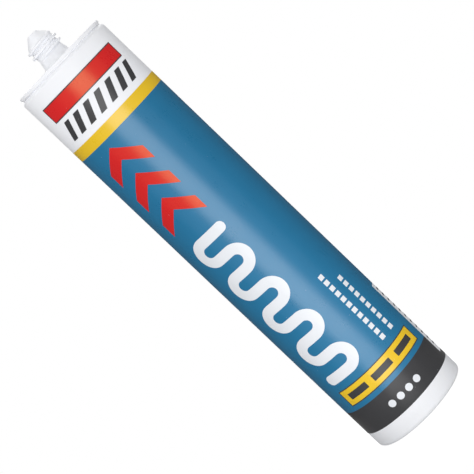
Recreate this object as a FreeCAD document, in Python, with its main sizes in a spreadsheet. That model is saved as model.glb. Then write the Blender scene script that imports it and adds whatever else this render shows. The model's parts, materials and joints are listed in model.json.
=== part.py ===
"""A sealant cartridge of 310 ml, nozzle neck up, standing on its open end.

One moulded barrel with a grooved head, a threaded neck and a closed cone tip, a cup piston in the
open end, the paste between them, and the print on the barrel as thin films of ink, one solid or
more for each colour. Millimetres, +Z up, origin at the centre of the open end. The middle of the
print faces -Y. Places round the barrel are arc lengths from that middle, positive towards +X.
"""

import FreeCAD, Part
import math
import os
import Sketcher

SIZES = (
    # The barrel
    ("barrel_radius", 24.2),
    ("barrel_wall", 1.2),
    ("shoulder_height", 216.5),
    # The foot, whose lip keeps the piston in
    ("foot_round", 2.0),
    ("lip_reach", 1.4),
    ("lip_height", 1.2),
    # The head
    ("head_thickness", 1.6),
    ("head_chamfer", 3.0),
    ("rim_inset", 0.7),
    ("rim_height", 1.5),
    ("rim_round", 0.5),
    ("groove_depth", 1.3),
    ("groove_top", 1.75),
    ("groove_width", 0.3),
    ("shoulder_round", 1.2),
    # The neck and its closed tip
    ("neck_height", 15.5),
    ("neck_base_radius", 7.1),
    ("neck_root_radius", 6.1),
    ("neck_taper", 4.2),
    ("neck_round", 1.6),
    ("neck_bore_radius", 4.4),
    ("tip_length", 4.3),
    ("tip_radius", 2.4),
    ("tip_round", 0.8),
    ("tip_wall", 1.3),
    ("tip_bore_radius", 1.2),
    ("tip_bore_drop", 0.6),
    # The nozzle thread
    ("thread_pitch", 2.65),
    ("thread_depth", 1.3),
    ("thread_base", 1.8),
    ("thread_crest", 0.7),
    ("thread_lead", 1.6),
    ("thread_end", 0.95),
    ("thread_sink", 0.3),
    # The piston
    ("piston_length", 20.0),
    ("piston_recess", 9.0),
    ("piston_gap", 0.05),
    ("piston_wall", 0.9),
    ("piston_face", 1.4),
    ("piston_corner", 2.0),
    ("seal_height", 2.5),
    ("seal_relief", 0.5),
    ("rib_count", 8),
    ("rib_thickness", 1.0),
    ("rib_reach", 6.0),
    ("rib_height", 5.0),
    ("rib_sink", 0.3),
    ("ring_radius", 8.7),
    ("ring_wall", 1.2),
    # The paste
    ("paste_gap", 0.05),
    ("paste_face_gap", 0.3),
    # Films of ink
    ("ink_gap", 0.02),
    ("ink_film", 0.1),
    # Plain fields of the print, from the head down and from the foot up
    ("head_bare", 10.0),
    ("bar_height", 8.0),
    ("bar_half_width", 23.1),
    ("hatch_gap", 1.9),
    ("hatch_height", 8.6),
    ("hatch_stripe", 3.3),
    ("hatch_pitch", 6.0),
    ("hatch_slant", 4.0),
    ("band_gap", 3.25),
    ("band_height", 5.25),
    ("foot_bare", 8.9),
    ("dark_height", 13.1),
    ("box_gap", 2.4),
    ("box_height", 8.7),
    ("box_half_width", 23.6),
    ("line_width", 0.45),
    # Motifs and small bars
    ("motif_left", -23.2),
    ("motif_width", 21.9),
    ("chevron_gap", 3.5),
    ("chevron_count", 3),
    ("chevron_pitch", 15.0),
    ("chevron_stroke", 7.0),
    ("chevron_rise", 9.0),
    ("bead_gap", 3.7),
    ("bead_clearance", 7.2),
    ("bead_stroke", 5.0),
    ("bead_pitch", 10.1),
    ("dot_radius", 1.7),
    ("dot_pitch", 5.0),
    ("dot_count", 4),
    ("dot_height", 6.2),
    ("mark_height", 3.2),
    ("mark_width", 11.0),
    ("mark_pitch", 14.6),
    ("mark_count", 3),
    ("dash_left", 9.3),
    ("dash_width", 2.4),
    ("dash_length", 2.3),
    ("dash_pitch", 3.3),
    ("dash_column", 6.6),
    ("dash_count", 12),
    ("dash_count_short", 10),
    # The panel round the side
    ("panel_left", 29.9),
    ("panel_width", 42.0),
    ("panel_height", 41.5),
    ("panel_step", 3.1),
    ("row_pitch", 3.4),
    ("row_height", 1.1),
    ("row_margin", 2.6),
)

SHOULDER = "Sizes.shoulder_height"
BORE = "(Sizes.barrel_radius - Sizes.barrel_wall)"
CEILING = "(Sizes.shoulder_height - Sizes.head_thickness)"
SEAL = "(Sizes.barrel_radius - Sizes.barrel_wall - Sizes.piston_gap)"
PISTON_FRONT = "(Sizes.piston_recess + Sizes.piston_length)"

# Heights of the print's fields
BAR_TOP = "(Sizes.shoulder_height - Sizes.head_bare)"
BAR_LOW = f"({BAR_TOP} - Sizes.bar_height)"
HATCH_LOW = f"({BAR_LOW} - Sizes.hatch_gap - Sizes.hatch_height)"
BAND_TOP = f"({HATCH_LOW} - Sizes.band_gap)"
BAND_LOW = f"({BAND_TOP} - Sizes.band_height)"
DARK_TOP = "(Sizes.foot_bare + Sizes.dark_height)"
BOX_LOW = f"({DARK_TOP} + Sizes.box_gap)"
BOX_TOP = f"({BOX_LOW} + Sizes.box_height)"
PANEL_LOW = "(Sizes.foot_bare + Sizes.panel_step)"
PANEL_TOP = f"({PANEL_LOW} + Sizes.panel_height)"

# Levels of ink above the barrel: one straight on it, one over another film
FIRST, SECOND = 0, 1

# Where whole rings of ink close, in degrees from +X: at the side, clear of every window
SEAM = 180

# How much of its column each bar on the side panel fills, in turn
ROW_SHARES = (1.0, 0.88, 0.96, 0.62, 1.0, 0.8)

doc = FreeCAD.newDocument("SealantCartridge")
sheet = doc.addObject("Spreadsheet::Sheet", "Sizes")
for row, (alias, value) in enumerate(SIZES, 1):
    sheet.set(f"A{row}", alias.replace("_", " "))
    sheet.set(f"B{row}", str(value))
    sheet.setAlias(f"B{row}", alias)
doc.recompute()


def size(expression):
    """The number that an expression on the sheet gives now."""
    return float(sheet.evalExpression(expression.replace("Sizes.", "")))


def origin_part(body, role):
    """A body's own origin plane or axis."""
    return next(part for part in body.Origin.OriginFeatures if part.Role == role)


def sketch_on(body, plane, name):
    """A new sketch of a body on one of its origin planes."""
    sketch = body.newObject("Sketcher::SketchObject", name)
    sketch.AttachmentSupport = [(origin_part(body, plane), "")]
    sketch.MapMode = "FlatFace"
    return sketch


def outline(sketch, corners):
    """A closed line through corners, each given as expressions for its distance across and up."""
    places = [FreeCAD.Vector(size(across), size(up), 0) for across, up in corners]
    count = len(places)
    for number, place in enumerate(places):
        sketch.addGeometry(Part.LineSegment(place, places[(number + 1) % count]), False)
    for number in range(count):
        sketch.addConstraint(
            Sketcher.Constraint("Coincident", number, 2, (number + 1) % count, 1)
        )
    for number, (across, up) in enumerate(corners):
        for kind, axis, text in (("DistanceX", -2, across), ("DistanceY", -1, up)):
            if text == "0":
                sketch.addConstraint(Sketcher.Constraint("PointOnObject", number, 1, axis))
                continue
            held = sketch.addConstraint(
                Sketcher.Constraint(kind, -1, 1, number, 1, size(text))
            )
            sketch.setExpression(f"Constraints[{held}]", text)


def revolve(body, corners, name):
    """A body's turned solid from the half section that corners give, right of the Z axis."""
    sketch = sketch_on(body, "XZ_Plane", f"{name}Section")
    outline(sketch, corners)
    turned = body.newObject("PartDesign::Revolution", name)
    turned.Profile = sketch
    turned.ReferenceAxis = (sketch, ["V_Axis"])
    turned.Angle = 360
    doc.recompute()
    return turned


def round_ring(body, name, radius, height, round_size):
    """Rounds the circular edge of that radius at that height."""
    base = body.Tip
    near = 1e-4
    rings = [
        f"Edge{number}"
        for number, edge in enumerate(base.Shape.Edges, 1)
        if isinstance(edge.Curve, Part.Circle)
        and abs(edge.Curve.Radius - size(radius)) < near
        and abs(edge.Curve.Center.z - size(height)) < near
    ]
    rounding = body.newObject("PartDesign::Fillet", name)
    rounding.Base = (base, rings)
    rounding.setExpression("Radius", f"Sizes.{round_size}")
    doc.recompute()
    return rounding


def make_barrel():
    """Tube, head, neck and tip, moulded in one."""
    body = doc.addObject("PartDesign::Body", "Barrel")
    body.Label = "barrel"
    mouth = f"({BORE} - Sizes.lip_reach)"
    rim = "(Sizes.barrel_radius - Sizes.rim_inset)"
    groove = "(Sizes.barrel_radius - Sizes.groove_depth)"
    groove_low = f"({SHOULDER} - Sizes.groove_top - Sizes.groove_width)"
    edge = f"({groove_low} - Sizes.groove_depth)"
    neck_top = f"({SHOULDER} + Sizes.neck_height)"
    cone_foot = f"({neck_top} - Sizes.tip_length)"
    tip_floor = f"({neck_top} - Sizes.tip_wall)"
    corners = (
        (mouth, "0"),
        ("Sizes.barrel_radius", "0"),
        ("Sizes.barrel_radius", edge),
        (groove, groove_low),
        (groove, f"{SHOULDER} - Sizes.groove_top"),
        (rim, f"{SHOULDER} - Sizes.rim_height"),
        (rim, SHOULDER),
        ("Sizes.neck_base_radius", SHOULDER),
        ("Sizes.neck_root_radius", f"{SHOULDER} + Sizes.neck_taper"),
        ("Sizes.neck_root_radius", cone_foot),
        ("Sizes.tip_radius", neck_top),
        ("0", neck_top),
        ("0", tip_floor),
        ("Sizes.tip_bore_radius", tip_floor),
        ("Sizes.neck_bore_radius", f"{cone_foot} - Sizes.tip_bore_drop"),
        ("Sizes.neck_bore_radius", CEILING),
        (f"{BORE} - Sizes.head_chamfer", CEILING),
        (BORE, f"{CEILING} - Sizes.head_chamfer"),
        (BORE, "Sizes.lip_height + Sizes.lip_reach"),
        (mouth, "Sizes.lip_height"),
    )
    revolve(body, corners, "Shell")
    round_ring(body, "FootRound", "Sizes.barrel_radius", "0", "foot_round")
    round_ring(body, "ShoulderRound", "Sizes.barrel_radius", edge, "shoulder_round")
    round_ring(body, "RimRound", rim, SHOULDER, "rim_round")
    round_ring(body, "NeckRound", "Sizes.neck_base_radius", SHOULDER, "neck_round")
    round_ring(body, "TipRound", "Sizes.tip_radius", neck_top, "tip_round")

    # The nozzle thread, a ridge of trapezium section between the neck's taper and its cone
    start = f"({SHOULDER} + Sizes.neck_taper + Sizes.thread_lead)"
    root = "(Sizes.neck_root_radius - Sizes.thread_sink)"
    crest = "(Sizes.neck_root_radius + Sizes.thread_depth)"
    ridge = sketch_on(body, "XZ_Plane", "RidgeSection")
    outline(
        ridge,
        (
            (root, f"{start} - Sizes.thread_base / 2"),
            (crest, f"{start} - Sizes.thread_crest / 2"),
            (crest, f"{start} + Sizes.thread_crest / 2"),
            (root, f"{start} + Sizes.thread_base / 2"),
        ),
    )
    doc.recompute()
    thread = body.newObject("PartDesign::AdditiveHelix", "Thread")
    thread.Profile = ridge
    thread.ReferenceAxis = (ridge, ["V_Axis"])
    thread.Mode = "pitch-height-angle"
    thread.setExpression("Pitch", "Sizes.thread_pitch")
    thread.setExpression("Height", f"{cone_foot} - Sizes.thread_end - {start}")
    doc.recompute()
    return body


def make_piston():
    """A cup, open to the rear, with a sealing ring at each end, ribs and a ring to push on."""
    body = doc.addObject("PartDesign::Body", "Piston")
    body.Label = "piston"
    waist = f"({SEAL} - Sizes.seal_relief)"
    skirt = f"({waist} - Sizes.piston_wall)"
    shoulder = f"({PISTON_FRONT} - Sizes.head_chamfer)"
    inside = f"({PISTON_FRONT} - Sizes.piston_face)"
    landing = f"({inside} - Sizes.rib_height)"
    ring_inner = "(Sizes.ring_radius - Sizes.ring_wall)"
    rear = "Sizes.piston_recess"
    corners = (
        (skirt, rear),
        (SEAL, rear),
        (SEAL, f"{rear} + Sizes.seal_height"),
        (waist, f"{rear} + Sizes.seal_height + Sizes.seal_relief"),
        (waist, f"{shoulder} - Sizes.seal_height - Sizes.seal_relief"),
        (SEAL, f"{shoulder} - Sizes.seal_height"),
        (SEAL, shoulder),
        (f"{SEAL} - Sizes.head_chamfer", PISTON_FRONT),
        ("0", PISTON_FRONT),
        ("0", inside),
        (ring_inner, inside),
        (ring_inner, landing),
        ("Sizes.ring_radius", landing),
        ("Sizes.ring_radius", inside),
        (f"{skirt} - Sizes.piston_corner", inside),
        (skirt, f"{inside} - Sizes.piston_corner"),
    )
    revolve(body, corners, "Cup")

    # One rib in the corner between skirt and face, then the others round the axis
    rib = sketch_on(body, "XZ_Plane", "RibSection")
    outer = f"({skirt} + Sizes.rib_sink)"
    outline(
        rib,
        (
            (f"{skirt} - Sizes.rib_reach", landing),
            (outer, landing),
            (outer, f"{inside} - Sizes.piston_corner"),
            (f"{skirt} - Sizes.piston_corner", f"{inside} + Sizes.rib_sink"),
            (f"{skirt} - Sizes.rib_reach", f"{inside} + Sizes.rib_sink"),
        ),
    )
    doc.recompute()
    pad = body.newObject("PartDesign::Pad", "Rib")
    pad.Profile = rib
    pad.SideType = "Symmetric"
    pad.setExpression("Length", "Sizes.rib_thickness")
    doc.recompute()
    ring = body.newObject("PartDesign::PolarPattern", "Ribs")
    ring.Originals = [pad]
    ring.Axis = (origin_part(body, "Z_Axis"), [""])
    ring.Angle = 360
    ring.setExpression("Occurrences", "Sizes.rib_count")
    body.Tip = ring
    body.Placement.Rotation = FreeCAD.Rotation(FreeCAD.Vector(0, 0, 1), 0)
    body.setExpression("Placement.Rotation.Angle", "180 / Sizes.rib_count")
    doc.recompute()
    return body


def make_sealant():
    """The paste between the piston's front and the head, and in the neck's bore."""
    body = doc.addObject("PartDesign::Body", "Sealant")
    body.Label = "sealant"
    side = f"({BORE} - Sizes.paste_gap)"
    rear = f"({PISTON_FRONT} + Sizes.paste_face_gap)"
    front_edge = f"({SEAL} - Sizes.head_chamfer)"
    top = f"({CEILING} - Sizes.paste_gap)"
    neck = "(Sizes.neck_bore_radius - Sizes.paste_gap)"
    cone = f"({SHOULDER} + Sizes.neck_height - Sizes.tip_length - Sizes.tip_bore_drop)"
    tip = f"({SHOULDER} + Sizes.neck_height - Sizes.tip_wall - Sizes.paste_gap)"
    corners = (
        ("0", rear),
        (front_edge, rear),
        (side, f"{rear} - ({side} - {front_edge})"),
        (side, f"{top} - Sizes.head_chamfer"),
        (f"{side} - Sizes.head_chamfer", top),
        (neck, top),
        (neck, f"{cone} - Sizes.paste_gap"),
        ("Sizes.tip_bore_radius - Sizes.paste_gap", tip),
        ("0", tip),
    )
    revolve(body, corners, "Fill")
    return body


def ink_radii(level):
    """The inner and outer radius of a film of ink, as expressions."""
    inner = f"Sizes.barrel_radius + Sizes.ink_gap * {level + 1} + Sizes.ink_film * {level}"
    return inner, f"{inner} + Sizes.ink_film"


def sector(name, radius, low, height, left=None, width=None):
    """A round block from the axis out: whole, or from left over width in arc length."""
    block = doc.addObject("Part::Cylinder", name)
    block.setExpression("Radius", radius)
    block.setExpression("Height", height)
    block.Placement.Rotation = FreeCAD.Rotation(FreeCAD.Vector(0, 0, 1), SEAM)
    block.setExpression("Placement.Base.z", low)
    if left is not None:
        degrees = "/ Sizes.barrel_radius * 180 / pi"
        block.setExpression("Angle", f"({width}) {degrees}")
        block.setExpression("Placement.Rotation.Angle", f"-90 + ({left}) {degrees}")
    return block


def plain_film(name, level, blocks, windows=()):
    """The film that blocks leave outside its inner radius, less its windows."""
    inner, outer = ink_radii(level)
    parts = [
        sector(f"{name}Block{number}", outer, *block)
        for number, block in enumerate(blocks, 1)
    ]
    whole = doc.addObject("Part::Compound", f"{name}Blocks")
    whole.Links = parts
    core = sector(f"{name}Core", inner, "0", SHOULDER)
    film = doc.addObject("Part::Cut", f"{name}Film")
    film.Base, film.Tool = whole, core
    for number, window in enumerate(windows, 1):
        cutter = sector(f"{name}Window{number}", f"{outer} + Sizes.ink_film", *window)
        cut = doc.addObject("Part::Cut", f"{name}Cut{number}")
        cut.Base, cut.Tool = film, cutter
        film = cut
    return film


def flat_line(start, end):
    """A straight edge of a flat outline, given by arc length and height."""
    return ("line", start, end)


def flat_arc(centre, radius, first, last):
    """An arc of a flat outline from one angle to another, in degrees."""
    return ("arc", centre, radius, math.radians(first), math.radians(last))


def wrapped_curve(piece, scale):
    """A piece of a flat outline as a curve in a cylinder's own angle and height."""
    point = FreeCAD.Base.Vector2d
    if piece[0] == "line":
        (x1, z1), (x2, z2) = piece[1:]
        return Part.Geom2d.Line2dSegment(point(x1 / scale, z1), point(x2 / scale, z2))
    (x, z), radius, first, last = piece[1:]
    steps = 8
    angles = [first + (last - first) * step / steps for step in range(steps + 1)]
    curve = Part.Geom2d.BSplineCurve2d()
    curve.interpolate(
        [point((x + radius * math.cos(a)) / scale, z + radius * math.sin(a)) for a in angles]
    )
    return curve


def wrapped_solid(pieces, level):
    """A film with a closed flat outline, wrapped on the barrel. The outline turns left."""
    scale = size("Sizes.barrel_radius")
    curves = [wrapped_curve(piece, scale) for piece in pieces]
    surfaces = []
    for radius in ink_radii(level):
        surface = Part.Cylinder()
        surface.Radius = size(radius)
        surface.Axis = FreeCAD.Vector(0, 0, 1)
        surfaces.append(surface)
    edges = [[curve.toShape(surface) for curve in curves] for surface in surfaces]
    faces = [
        Part.Face(surface, Part.Wire(ring)) for surface, ring in zip(surfaces, edges)
    ]
    faces += [Part.makeRuledSurface(low, high) for low, high in zip(*edges)]
    solid = Part.Solid(Part.Shell(faces))
    solid.rotate(FreeCAD.Vector(), FreeCAD.Vector(0, 0, 1), -90)
    return solid


def polygon(corners):
    """The straight edges of a closed flat outline."""
    return [
        flat_line(corner, corners[(number + 1) % len(corners)])
        for number, corner in enumerate(corners)
    ]


def drawn_film(name, level, outlines):
    """A film whose shapes no primitive has: each flat outline wrapped on the barrel."""
    film = doc.addObject("Part::Feature", name)
    film.Shape = Part.Compound([wrapped_solid(pieces, level) for pieces in outlines])
    film.Placement = FreeCAD.Placement()
    return film


def ink(label, films):
    """All the films of one colour as one sub-part."""
    colour = doc.addObject("Part::Compound", "".join(w.title() for w in label.split("_")))
    colour.Links = films
    colour.Label = label
    colour.Placement = FreeCAD.Placement()
    return colour


def chevron(left, width, low, rise, stroke):
    """An arrowhead of even stroke that points up."""
    middle, right = left + width / 2, left + width
    return polygon(
        (
            (left, low),
            (middle, low + rise),
            (right, low),
            (right, low + stroke),
            (middle, low + rise + stroke),
            (left, low + stroke),
        )
    )


def bead(left, width, low, high, stroke, pitch):
    """A winding bead: level runs joined by round turns, with round ends."""
    half, right = stroke / 2, left + width
    runs = 1 + round((high - low - stroke) / pitch)
    step = (high - low - stroke) / (runs - 1)
    outer, inner = step / 2 + half, step / 2 - half
    near, far = left + outer, right - outer
    ahead, back = [], []
    for run in range(runs):
        middle, rightward = low + half + run * step, run % 2 == 0
        start, end = (near, far) if rightward else (far, near)
        if run == 0:
            start = left + half
        if run == runs - 1:
            end = right - half if rightward else left + half
        side = -half if rightward else half
        ahead.append(flat_line((start, middle + side), (end, middle + side)))
        back.append(flat_line((end, middle - side), (start, middle - side)))
        if run == runs - 1:
            first = -90 if rightward else 90
            ahead.append(flat_arc((end, middle), half, first, first + 180))
        elif rightward:
            ahead.append(flat_arc((end, middle + step / 2), outer, -90, 90))
            back.append(flat_arc((end, middle + step / 2), inner, 90, -90))
        else:
            ahead.append(flat_arc((end, middle + step / 2), inner, 270, 90))
            back.append(flat_arc((end, middle + step / 2), outer, 90, 270))
    return ahead + back[::-1] + [flat_arc((left + half, low + half), half, 90, 270)]


def stripes(half_width, low, height, stripe, pitch, slant):
    """Slanting stripes, evenly spread over a row."""
    room = 2 * half_width - stripe - slant
    count = 1 + round(room / pitch)
    lefts = [-half_width + room * number / (count - 1) for number in range(count)]
    return [
        polygon(
            (
                (left, low),
                (left + stripe, low),
                (left + stripe + slant, low + height),
                (left + slant, low + height),
            )
        )
        for left in lefts
    ]


def frame_blocks(low, height, half_width):
    """The four lines of a frame just inside a box, as blocks for plain_film."""
    line = "Sizes.line_width"
    left, width = f"-{half_width}", f"2 * {half_width}"
    return [
        (low, line, left, width),
        (f"{low} + {height} - {line}", line, left, width),
        (f"{low} + {line}", f"{height} - 2 * {line}", left, line),
        (f"{low} + {line}", f"{height} - 2 * {line}", f"{half_width} - {line}", line),
    ]


def make_blue(box, panel):
    """The long field, with a window for the box and one for the side panel.

    It is laid in rings that meet at the ends of the windows, so each face is a plain strip.
    """
    ends = (DARK_TOP, BOX_LOW, BOX_TOP, PANEL_TOP, BAND_LOW)
    rings = [(low, f"{high} - {low}") for low, high in zip(ends, ends[1:])]
    return ink("print_blue", [plain_film("Blue", FIRST, rings, [box, panel])])


def make_yellow(box):
    """The band above the field, and the box."""
    band = (BAND_LOW, "Sizes.band_height")
    return ink("print_yellow", [plain_film("Yellow", FIRST, [band, box])])


def make_red(bar):
    """The bar near the head, and arrowheads that point to the nozzle."""
    top = size(f"{BAND_LOW} - Sizes.chevron_gap")
    rise, stroke = size("Sizes.chevron_rise"), size("Sizes.chevron_stroke")
    arrows = [
        chevron(
            size("Sizes.motif_left"),
            size("Sizes.motif_width"),
            top - rise - stroke - size("Sizes.chevron_pitch") * number,
            rise,
            stroke,
        )
        for number in range(int(size("Sizes.chevron_count")))
    ]
    films = [plain_film("Red", FIRST, [bar]), drawn_film("RedArrows", SECOND, arrows)]
    return ink("print_red", films)


def panel_rows():
    """Short bars in two columns on the side panel, as blocks for plain_film."""
    rows = int(size("(Sizes.panel_height - 2 * Sizes.row_margin) / Sizes.row_pitch")) + 1
    column = "(Sizes.panel_width / 2 - 1.5 * Sizes.row_margin)"
    top = f"({PANEL_TOP} - Sizes.row_margin - Sizes.row_height)"
    blocks = []
    for row in range(rows):
        low = f"{top} - Sizes.row_pitch * {row}"
        for side in (0, 1):
            left = f"Sizes.panel_left + Sizes.row_margin + ({column} + Sizes.row_margin) * {side}"
            share = ROW_SHARES[(row + side * 2) % len(ROW_SHARES)]
            blocks.append((low, "Sizes.row_height", left, f"{column} * {share}"))
    return blocks


def make_dark(box, bar, panel):
    """The band at the foot, frames, the hatched row, and bars on the box and the panel."""
    band = ("Sizes.foot_bare", "Sizes.dark_height")
    mark_low = f"{BOX_LOW} + (Sizes.box_height - Sizes.mark_height) / 2"
    span = "(Sizes.mark_pitch * (Sizes.mark_count - 1) + Sizes.mark_width)"
    marks = [
        (
            mark_low,
            "Sizes.mark_height",
            f"Sizes.mark_pitch * {number} - {span} / 2",
            "Sizes.mark_width",
        )
        for number in range(int(size("Sizes.mark_count")))
    ]
    frames = frame_blocks(box[0], box[1], "Sizes.box_half_width")
    frames += frame_blocks(bar[0], bar[1], "Sizes.bar_half_width")
    hatch = stripes(
        size("Sizes.bar_half_width"),
        size(HATCH_LOW),
        size("Sizes.hatch_height"),
        size("Sizes.hatch_stripe"),
        size("Sizes.hatch_pitch"),
        size("Sizes.hatch_slant"),
    )
    films = [
        plain_film("Dark", FIRST, [band], [panel]),
        plain_film("DarkRows", FIRST, panel_rows()),
        plain_film("DarkLines", SECOND, frames + marks),
        drawn_film("DarkHatch", FIRST, hatch),
    ]
    return ink("print_dark", films)


def make_white():
    """The winding bead, two columns of dashes beside it, and a row of dots on the foot band."""
    low = f"({BOX_TOP} + Sizes.bead_gap)"
    arrows = "(Sizes.chevron_pitch * (Sizes.chevron_count - 1) + Sizes.chevron_rise"
    arrows += " + Sizes.chevron_stroke)"
    high = f"{BAND_LOW} - Sizes.chevron_gap - {arrows} - Sizes.bead_clearance"
    winding = bead(
        size("Sizes.motif_left"),
        size("Sizes.motif_width"),
        size(low),
        size(high),
        size("Sizes.bead_stroke"),
        size("Sizes.bead_pitch"),
    )
    count, radius = int(size("Sizes.dot_count")), size("Sizes.dot_radius")
    dots = []
    for number in range(count):
        across = (number - (count - 1) / 2) * size("Sizes.dot_pitch")
        centre = (across, size("Sizes.foot_bare + Sizes.dot_height"))
        dots.append([flat_arc(centre, radius, turn, turn + 90) for turn in (0, 90, 180, 270)])
    dashes = [
        (
            f"{low} + Sizes.dash_pitch * {number}",
            "Sizes.dash_length",
            f"Sizes.dash_left + Sizes.dash_column * {column}",
            "Sizes.dash_width",
        )
        for column, share in enumerate(("Sizes.dash_count", "Sizes.dash_count_short"))
        for number in range(int(size(share)))
    ]
    films = [
        plain_film("WhiteDashes", SECOND, dashes),
        drawn_film("WhiteShapes", SECOND, [winding, *dots]),
    ]
    return ink("print_white", films)


def make_prints():
    """Every colour of the print."""
    box = (BOX_LOW, "Sizes.box_height", "-Sizes.box_half_width", "2 * Sizes.box_half_width")
    bar = (BAR_LOW, "Sizes.bar_height", "-Sizes.bar_half_width", "2 * Sizes.bar_half_width")
    panel = (PANEL_LOW, "Sizes.panel_height", "Sizes.panel_left", "Sizes.panel_width")
    return [
        make_blue(box, panel),
        make_yellow(box),
        make_red(bar),
        make_dark(box, bar, panel),
        make_white(),
    ]


nodes = [make_barrel(), make_piston(), make_sealant(), *make_prints()]
doc.recompute()

for item in doc.Objects:
    if {"Invalid", "Error"} & set(item.State):
        raise RuntimeError(f"{item.Name} failed: {item.State}")
for node in nodes:
    if node.Shape.isNull() or not node.Shape.isValid() or not node.Shape.Solids:
        raise RuntimeError(f"{node.Label} has no valid solid")

os.makedirs("parts", exist_ok=True)
for node in nodes:
    node.Shape.exportStep(f"parts/{node.Label}.step")
    box = node.Shape.BoundBox
    print(
        f"{node.Label}: {len(node.Shape.Solids)} solids, {node.Shape.Volume:.1f} mm3,"
        f" z {box.ZMin:.2f} to {box.ZMax:.2f}, x {box.XMin:.2f} to {box.XMax:.2f}"
    )
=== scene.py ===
"""The looks of a 310 ml sealant cartridge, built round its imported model.

The barrel, the piston, the paste and each colour of ink get a fine mesh of their own in place of
the plain solid. Sizes are millimetres until a mesh is made, and the meshes are in metres. Places
round the barrel are arc lengths from the middle of the print, which faces -Y.
"""

import json
import math

import bmesh
import bpy
from mathutils import Matrix, Vector


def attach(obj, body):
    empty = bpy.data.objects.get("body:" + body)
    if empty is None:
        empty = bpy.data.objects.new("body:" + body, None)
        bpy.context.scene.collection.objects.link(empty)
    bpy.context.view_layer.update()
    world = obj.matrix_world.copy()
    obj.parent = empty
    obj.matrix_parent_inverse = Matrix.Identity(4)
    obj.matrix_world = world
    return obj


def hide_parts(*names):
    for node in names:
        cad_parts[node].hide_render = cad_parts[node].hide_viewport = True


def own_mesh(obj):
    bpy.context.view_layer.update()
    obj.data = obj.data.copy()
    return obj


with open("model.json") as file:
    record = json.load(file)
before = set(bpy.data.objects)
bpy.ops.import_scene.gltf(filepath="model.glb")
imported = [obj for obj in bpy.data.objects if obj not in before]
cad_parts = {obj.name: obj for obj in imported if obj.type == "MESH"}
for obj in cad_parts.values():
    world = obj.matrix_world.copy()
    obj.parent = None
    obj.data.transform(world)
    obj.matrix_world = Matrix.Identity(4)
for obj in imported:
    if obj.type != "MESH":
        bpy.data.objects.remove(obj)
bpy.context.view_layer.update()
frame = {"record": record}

MM = 0.001
SCENE = bpy.context.scene
COLOURS = {item["slot"]: item["base_color"][:3] for item in frame["record"]["materials"]}

# The barrel
BARREL_RADIUS = 24.2
BORE_RADIUS = 23.0
SHOULDER = 216.5
MOUTH_RADIUS = 21.6
LIP_HEIGHT = 1.2
HEAD_THICKNESS = 1.6
HEAD_CHAMFER = 3.0
RIM_RADIUS = 23.5
RIM_HEIGHT = 1.5
GROOVE_RADIUS = 22.9
GROOVE_TOP = 1.75
GROOVE_WIDTH = 0.3

# The neck, its tip and its thread
NECK_HEIGHT = 15.5
NECK_BASE_RADIUS = 7.1
NECK_ROOT_RADIUS = 6.1
NECK_TAPER = 4.2
NECK_BORE_RADIUS = 4.4
TIP_LENGTH = 4.3
TIP_RADIUS = 2.4
TIP_WALL = 1.3
TIP_BORE_RADIUS = 1.2
TIP_BORE_DROP = 0.6
THREAD_PITCH = 2.65
THREAD_DEPTH = 1.3
THREAD_BASE = 1.8
THREAD_CREST = 0.7
THREAD_LEAD = 1.6
THREAD_FIRST_TURN = -0.5
THREAD_LAST_TURN = 2.1
THREAD_FADE = 0.45
PARTING_HEIGHT = 0.07
PARTING_WIDTH = 0.25

# The gate mark on the tip: a dimple with the stub of the sprue in it
GATE_RADIUS = 0.9
GATE_SLOPE = 0.15
GATE_DEPTH = 0.25
STUB_RADIUS = 0.35
STUB_HEIGHT = 0.17

# The piston
PISTON_RECESS = 9.0
PISTON_LENGTH = 20.0
PISTON_WALL = 0.9
PISTON_FACE = 1.4
PISTON_CORNER = 2.0
SEAL_RADIUS = 22.95
SEAL_HEIGHT = 2.5
SEAL_RELIEF = 0.5
RIB_COUNT = 8
RIB_THICKNESS = 1.0
RIB_REACH = 6.0
RIB_HEIGHT = 5.0
RING_RADIUS = 8.7
RING_WALL = 1.2

# The paste
PASTE_GAP = 0.05
PASTE_FACE_GAP = 0.3
PASTE_REAR = PISTON_RECESS + PISTON_LENGTH + PASTE_FACE_GAP
PASTE_TOP = SHOULDER - HEAD_THICKNESS - PASTE_GAP

# Rounds of edges
FOOT_ROUND = 2.0
SHOULDER_ROUND = 1.2
RIM_ROUND = 0.5
NECK_ROUND = 1.6
TAPER_ROUND = 3.0
TIP_ROUND = 0.8
LIP_ROUND = 0.3
SMALL_ROUND = 0.15

# Films of ink: how far each level lies above the barrel, and how thick a film is
FIRST, SECOND = 0.02, 0.06
FILM = 0.03

# Fields of the print: heights, then half widths in arc length
HALF_ROUND = math.pi * BARREL_RADIUS
FOOT_BARE = 8.9
DARK_TOP = 22.0
BAND_LOW = 179.5
BAND_TOP = 184.75
HATCH_LOW = 188.0
HATCH_HEIGHT = 8.6
BAR_LOW = 198.5
BAR_HEIGHT = 8.0
BAR_HALF = 23.1
BOX_LOW = 24.4
BOX_HEIGHT = 8.7
BOX_HALF = 23.6
LINE = 0.45

# Motifs and marks
MOTIF_LEFT = -23.2
MOTIF_WIDTH = 21.9
CHEVRON_COUNT = 3
CHEVRON_PITCH = 15.0
CHEVRON_STROKE = 7.0
CHEVRON_RISE = 9.0
CHEVRON_GAP = 3.5
BEAD_STROKE = 5.0
BEAD_PITCH = 10.1
BEAD_GAP = 3.7
BEAD_CLEARANCE = 7.2
HATCH_STRIPE = 3.3
HATCH_PITCH = 6.0
HATCH_SLANT = 4.0
DOT_RADIUS = 1.7
DOT_PITCH = 5.0
DOT_COUNT = 4
DOT_HEIGHT = 6.2
MARK_HEIGHT = 3.2
MARK_WIDTH = 11.0
MARK_PITCH = 14.6
MARK_COUNT = 3
DASH_LEFT = 9.3
DASH_WIDTH = 2.4
DASH_LENGTH = 2.3
DASH_PITCH = 3.3
DASH_COLUMN = 6.6
DASH_COUNTS = (12, 10)

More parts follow.
